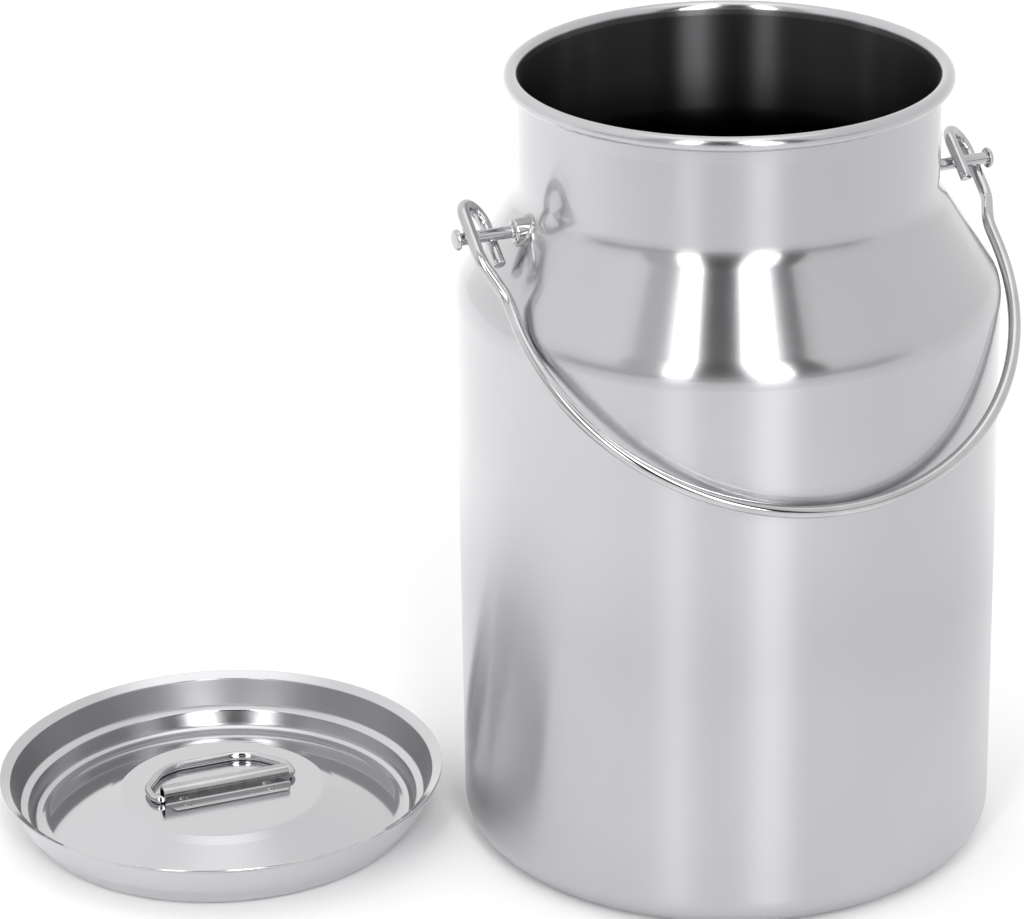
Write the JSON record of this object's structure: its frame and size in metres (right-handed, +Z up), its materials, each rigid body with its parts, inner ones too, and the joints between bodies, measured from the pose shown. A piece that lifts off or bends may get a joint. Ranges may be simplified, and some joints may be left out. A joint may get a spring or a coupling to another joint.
{
  "type": "milk can",
  "caption": "Wide-mouth cylindrical milk can with conical shoulder, rolled rim and wire bail, with its loose pan lid and folding D-ring beside it.",
  "frame": {"origin": "centre of the can's flat base, on the floor", "axes": "+Z up along the can's axis out of its mouth; the bail's hinge pins lie along X and the bail hangs towards -Y; the lid lies on the floor towards -X and +Y"},
  "size_m": [0.4009, 0.2867, 0.324],
  "materials": {
    "satin_steel": "satin, brushed round the axis",
    "lid_steel": "fine satin, brighter than the can",
    "wire_steel": "polished stainless wire",
    "pin_steel": "polished stainless pin",
    "clip_steel": "polished stainless strip"
  },
  "bodies": {
    "can": {"body_shell": "satin_steel", "shoulder_neck": "satin_steel", "ear_left": "pin_steel", "ear_right": "pin_steel"},
    "bail": {"bail": "wire_steel"},
    "lid": {"lid_pan": "lid_steel", "ring_clip": "clip_steel"},
    "ring": {"lid_ring": "wire_steel"}
  },
  "joints": [
    {"name": "bail_swing", "type": "hinge", "parent": "can", "child": "bail", "pos_m": [0, 0, 0.2695], "axis": [-1, 0, 0], "range_deg": [0, 256.6]},
    {"name": "lid_lift", "type": "slide", "parent": "can", "child": "lid", "axis": [0, 0, 1], "range_m": [0, 0.35]},
    {"name": "ring_fold", "type": "hinge", "parent": "lid", "child": "ring", "pos_m": [-0.19317, 0.0766, 0.0139], "axis": [0.9998, -0.0175, 0], "range_deg": [0, 180]}
  ]
}
